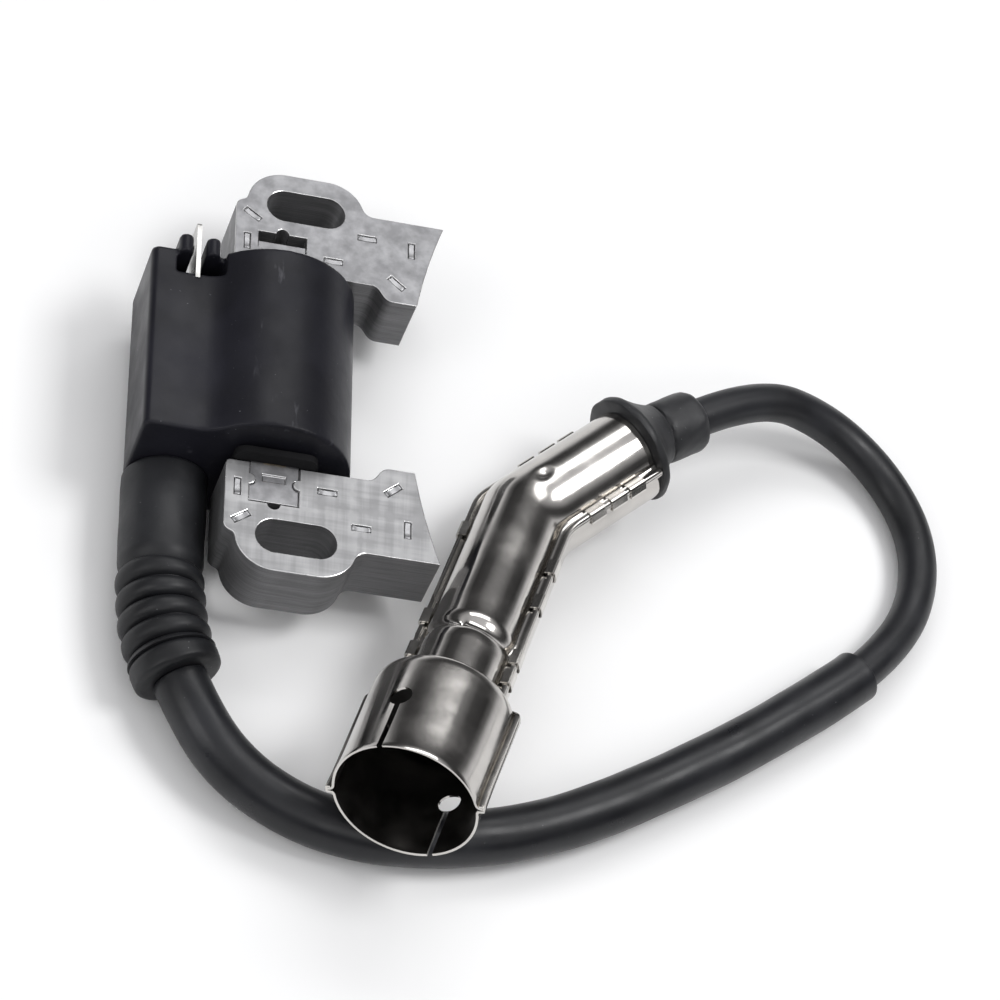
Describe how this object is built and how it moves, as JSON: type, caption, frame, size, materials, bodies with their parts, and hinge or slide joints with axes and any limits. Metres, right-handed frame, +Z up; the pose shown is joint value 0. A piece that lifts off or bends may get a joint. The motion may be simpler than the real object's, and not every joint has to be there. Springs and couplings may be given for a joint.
{
  "type": "ignition coil",
  "caption": "Flywheel ignition coil of a small petrol engine: laminated legs, potted case, kill tab, bellows boot, sleeved high-tension lead and shielded plug cap.",
  "frame": {"origin": "on the underside of the case, midway between the two mounting slots", "axes": "+X from the case towards the flywheel, +Y along the core bar towards the kill tab, +Z up from the potted underside"},
  "size_m": [0.1519, 0.1313, 0.0357],
  "materials": {
    "core_steel": "laminated electrical steel, lightly oiled",
    "case_plastic": "black moulded, satin",
    "resin": "cast",
    "bobbin_plastic": "moulded",
    "copper": "enamelled copper",
    "board": "solder resist",
    "component_plastic": "moulded",
    "brass": "bright",
    "tinned_brass": "tinned",
    "boot_rubber": "moulded",
    "jacket": "smooth",
    "sleeve": "smooth",
    "shield_steel": "pressed and plated",
    "insulator": "moulded phenolic",
    "ceramic": "fired",
    "spring_steel": "drawn wire"
  },
  "bodies": {
    "root": {"tab_side_leg": "core_steel", "lead_side_leg": "core_steel", "core_bar": "core_steel", "case": "case_plastic", "potting_resin": "resin", "primary_bobbin": "bobbin_plastic", "primary_winding": "copper", "secondary_spool": "bobbin_plastic", "secondary_winding": "copper", "control_board": "board", "power_transistor": "component_plastic", "board_parts": "component_plastic", "earth_clip": "brass", "kill_tab": "tinned_brass", "output_pin": "brass", "bellows_boot": "boot_rubber", "coil_end_wire": "copper", "coil_end_jacket": "jacket", "lead_wire": "copper", "lead_jacket": "jacket", "lead_sleeve": "sleeve"},
    "plug_cap": {"shield_upper_half": "shield_steel", "shield_lower_half": "shield_steel", "cap_insulator": "insulator", "cap_resistor": "ceramic", "contact_spring": "spring_steel", "plug_clip": "brass", "plug_seal": "boot_rubber", "lead_screw": "tinned_brass", "cap_end_wire": "copper", "cap_end_jacket": "jacket", "cap_grommet": "boot_rubber"}
  },
  "joints": [
    {"name": "plug_cap_swivel", "type": "hinge", "parent": "root", "child": "plug_cap", "pos_m": [0.0733, 0.0066, 0.015], "axis": [-0.83, -0.5569, 0.0301], "range_deg": [0, 90]}
  ]
}
